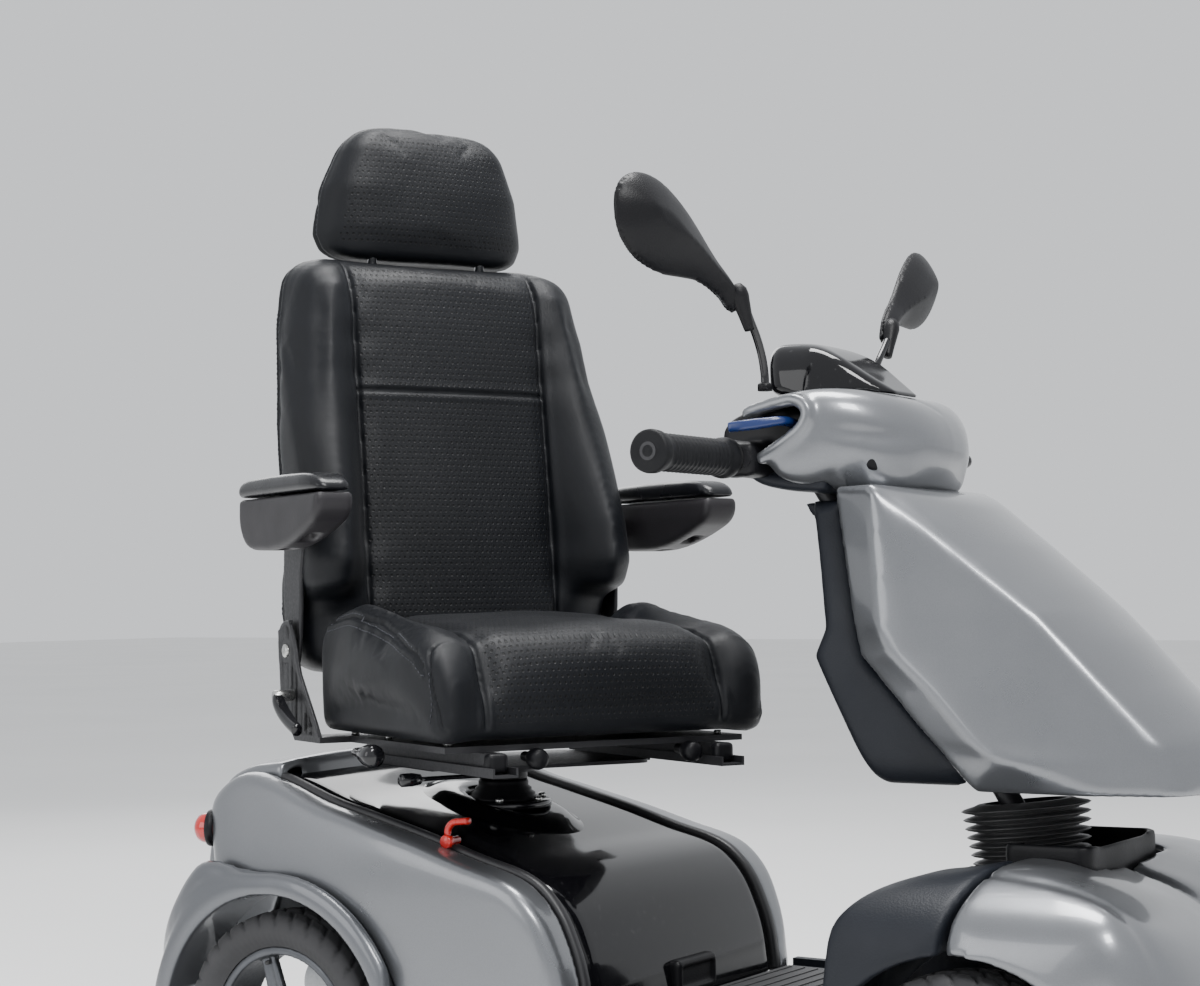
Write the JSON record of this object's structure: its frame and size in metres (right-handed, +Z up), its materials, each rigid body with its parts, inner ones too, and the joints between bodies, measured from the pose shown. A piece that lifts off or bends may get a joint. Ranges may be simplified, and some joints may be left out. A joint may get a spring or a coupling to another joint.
{
  "type": "mobility scooter",
  "caption": "Four wheeled mobility scooter: swivelling captain seat, tilting steering tiller, footwell, wheel fenders, mirrors and hand controls.",
  "frame": {"origin": "middle of the footprint on the ground, under the middle of the bounding box", "axes": "-Y is the front, +X is the rider's left, +Z is up; Y is the long direction"},
  "size_m": [0.863, 1.478, 1.468],
  "materials": {
    "frame_black": "semi-gloss",
    "dark_plastic": "matte",
    "mat_rubber": "ribbed",
    "silver_paint": "metallic",
    "fender_paint": "metallic",
    "hood_black": "gloss",
    "trim_black": "satin",
    "lamp_red": "lens",
    "battery_case": "matte",
    "cast_alloy": "cast",
    "lever_red": "gloss",
    "tyre_rubber": "moulded",
    "rim_alloy": "painted",
    "knuckle_steel": "machined",
    "rod_zinc": "zinc plated",
    "boot_rubber": "matte",
    "grip_rubber": "ribbed",
    "lever_blue": "gloss",
    "lever_black": "satin",
    "mirror_shell": "satin",
    "mirror_face": "polished",
    "lamp_clear": "lens",
    "seat_leather": "perforated centre, smooth sides",
    "arm_plastic": "soft touch"
  },
  "bodies": {
    "chassis": {"chassis_frame": "frame_black", "floorboard": "dark_plastic", "floor_mat": "mat_rubber", "side_panel_right": "silver_paint", "side_panel_left": "silver_paint", "rear_fender_right": "fender_paint", "rear_fender_left": "fender_paint", "rear_deck": "silver_paint", "centre_hood": "hood_black", "hood_trim_right": "trim_black", "hood_trim_left": "trim_black", "tail_lamp_right": "lamp_red", "tail_lamp_left": "lamp_red", "battery_right": "battery_case", "battery_left": "battery_case", "transaxle": "cast_alloy", "front_cowl": "silver_paint", "front_fender_right": "dark_plastic", "front_fender_left": "dark_plastic", "front_axle": "frame_black", "seat_post": "frame_black"},
    "wheel_rear_right": {"tyre_rear_right": "tyre_rubber", "rim_rear_right": "rim_alloy"},
    "wheel_rear_left": {"tyre_rear_left": "tyre_rubber", "rim_rear_left": "rim_alloy"},
    "wheel_front_right": {"tyre_front_right": "tyre_rubber", "rim_front_right": "rim_alloy"},
    "wheel_front_left": {"tyre_front_left": "tyre_rubber", "rim_front_left": "rim_alloy"},
    "knuckle_right": {"knuckle_right": "knuckle_steel"},
    "knuckle_left": {"knuckle_left": "knuckle_steel"},
    "tie_rod": {"tie_rod": "rod_zinc"},
    "column": {"steering_column": "frame_black", "boot": "boot_rubber"},
    "tiller": {"leg_shield": "dark_plastic", "tiller_shield": "silver_paint", "tiller_head": "silver_paint", "dash": "hood_black", "handlebar": "frame_black", "grip_right": "grip_rubber", "grip_left": "grip_rubber", "headlamp": "lamp_clear"},
    "throttle": {"throttle_lever": "lever_blue"},
    "brake": {"brake_lever": "lever_black"},
    "mirror_right": {"mirror_right": "mirror_shell", "mirror_glass_right": "mirror_face"},
    "mirror_left": {"mirror_left": "mirror_shell", "mirror_glass_left": "mirror_face"},
    "speed_dial": {"speed_dial": "lever_black"},
    "swivel": {"swivel_base": "frame_black"},
    "swivel_lever": {"swivel_lever": "lever_black"},
    "seat": {"seat_frame": "frame_black", "cushion": "seat_leather"},
    "slide_lever": {"slide_lever": "lever_black"},
    "recline_lever": {"recline_lever": "lever_black"},
    "back": {"backrest": "seat_leather"},
    "headrest": {"headrest": "seat_leather"},
    "armrest_right": {"armrest_right": "arm_plastic"},
    "armrest_left": {"armrest_left": "arm_plastic"},
    "freewheel_lever": {"freewheel_lever": "lever_red"}
  },
  "joints": [
    {"name": "wheel_rear_right_spin", "type": "hinge", "parent": "chassis", "child": "wheel_rear_right", "pos_m": [-0.272, 0.495, 0.165], "axis": [1, 0, 0], "continuous": true},
    {"name": "wheel_rear_left_spin", "type": "hinge", "parent": "chassis", "child": "wheel_rear_left", "pos_m": [0.272, 0.495, 0.165], "axis": [1, 0, 0], "continuous": true},
    {"name": "steering", "type": "hinge", "parent": "chassis", "child": "column", "pos_m": [0, -0.44, 0.45], "axis": [0, 0.5358, 0.8443], "range_deg": [-25, 25]},
    {"name": "tiller_tilt", "type": "hinge", "parent": "column", "child": "tiller", "pos_m": [0, -0.37999, 0.54456], "axis": [1, 0, 0], "range_deg": [0, 8]},
    {"name": "knuckle_right_turn", "type": "hinge", "parent": "chassis", "child": "knuckle_right", "pos_m": [-0.215, -0.48, 0.165], "axis": [0, 0, 1], "range_deg": [-22, 22]},
    {"name": "knuckle_left_turn", "type": "hinge", "parent": "chassis", "child": "knuckle_left", "pos_m": [0.215, -0.48, 0.165], "axis": [0, 0, 1], "range_deg": [-22, 22]},
    {"name": "tie_rod_turn", "type": "hinge", "parent": "knuckle_right", "child": "tie_rod", "pos_m": [-0.215, -0.414, 0.13], "axis": [0, 0, 1], "range_deg": [-22, 22]},
    {"name": "wheel_front_right_spin", "type": "hinge", "parent": "knuckle_right", "child": "wheel_front_right", "pos_m": [-0.272, -0.48, 0.165], "axis": [1, 0, 0], "continuous": true},
    {"name": "wheel_front_left_spin", "type": "hinge", "parent": "knuckle_left", "child": "wheel_front_left", "pos_m": [0.272, -0.48, 0.165], "axis": [1, 0, 0], "continuous": true},
    {"name": "throttle_turn", "type": "hinge", "parent": "tiller", "child": "throttle", "pos_m": [0, -0.17977, 0.94218], "axis": [0, 0.5358, 0.8443], "range_deg": [-2.5, 2.5], "stiffness_Nm_per_rad": 2},
    {"name": "brake_lever_pull", "type": "hinge", "parent": "tiller", "child": "brake", "pos_m": [0.168, -0.176, 0.918], "axis": [0, 0, 1], "range_deg": [0, 14], "stiffness_Nm_per_rad": 1.5},
    {"name": "mirror_right_turn", "type": "hinge", "parent": "tiller", "child": "mirror_right", "pos_m": [-0.146, -0.16, 0.99], "axis": [0, 0, 1], "range_deg": [-20, 20]},
    {"name": "mirror_left_turn", "type": "hinge", "parent": "tiller", "child": "mirror_left", "pos_m": [0.146, -0.16, 0.99], "axis": [0, 0, 1], "range_deg": [-20, 20]},
    {"name": "speed_dial_turn", "type": "hinge", "parent": "tiller", "child": "speed_dial", "pos_m": [0.04, -0.12, 1.014], "axis": [0, -1, 0], "range_deg": [-135, 135]},
    {"name": "freewheel_lever_turn", "type": "hinge", "parent": "chassis", "child": "freewheel_lever", "pos_m": [-0.255, 0.255, 0.43], "axis": [1, 0, 0], "range_deg": [0, 35]},
    {"name": "seat_swivel", "type": "hinge", "parent": "chassis", "child": "swivel", "pos_m": [0, 0.35, 0.5], "axis": [0, 0, 1], "range_deg": [-18.5, 71.5]},
    {"name": "swivel_lever_turn", "type": "hinge", "parent": "swivel", "child": "swivel_lever", "pos_m": [-0.15284, 0.25859, 0.508], "axis": [0, 0, 1], "range_deg": [-8, 8], "stiffness_Nm_per_rad": 1},
    {"name": "seat_slide", "type": "slide", "parent": "swivel", "child": "seat", "axis": [-0.4462, -0.8949, 0], "range_m": [-0.04, 0.04]},
    {"name": "slide_lever_lift", "type": "hinge", "parent": "seat", "child": "slide_lever", "pos_m": [-0.24872, 0.40696, 0.541], "axis": [0.8949, -0.4462, 0], "range_deg": [-12, 0], "stiffness_Nm_per_rad": 1},
    {"name": "recline_lever_lift", "type": "hinge", "parent": "seat", "child": "recline_lever", "pos_m": [-0.2015, 0.57338, 0.61], "axis": [0.8949, -0.4462, 0], "range_deg": [-16, 0], "stiffness_Nm_per_rad": 2},
    {"name": "backrest_recline", "type": "hinge", "parent": "seat", "child": "back", "pos_m": [0.06247, 0.47529, 0.672], "axis": [0.8949, -0.4462, 0], "range_deg": [-18, 8]},
    {"name": "headrest_height", "type": "slide", "parent": "back", "child": "headrest", "axis": [0, 0, 1], "range_m": [0, 0.05]},
    {"name": "armrest_right_lift", "type": "hinge", "parent": "back", "child": "armrest_right", "pos_m": [-0.17961, 0.5904, 0.848], "axis": [0.8949, -0.4462, 0], "range_deg": [-85, 0]},
    {"name": "armrest_left_lift", "type": "hinge", "parent": "back", "child": "armrest_left", "pos_m": [0.30008, 0.35124, 0.848], "axis": [0.8949, -0.4462, 0], "range_deg": [-85, 0]}
  ],
  "couplings": [
    {"joint": "knuckle_right_turn", "follows": "steering", "ratio": 0.85},
    {"joint": "knuckle_left_turn", "follows": "steering", "ratio": 0.85},
    {"joint": "tie_rod_turn", "follows": "steering", "ratio": -0.85}
  ]
}
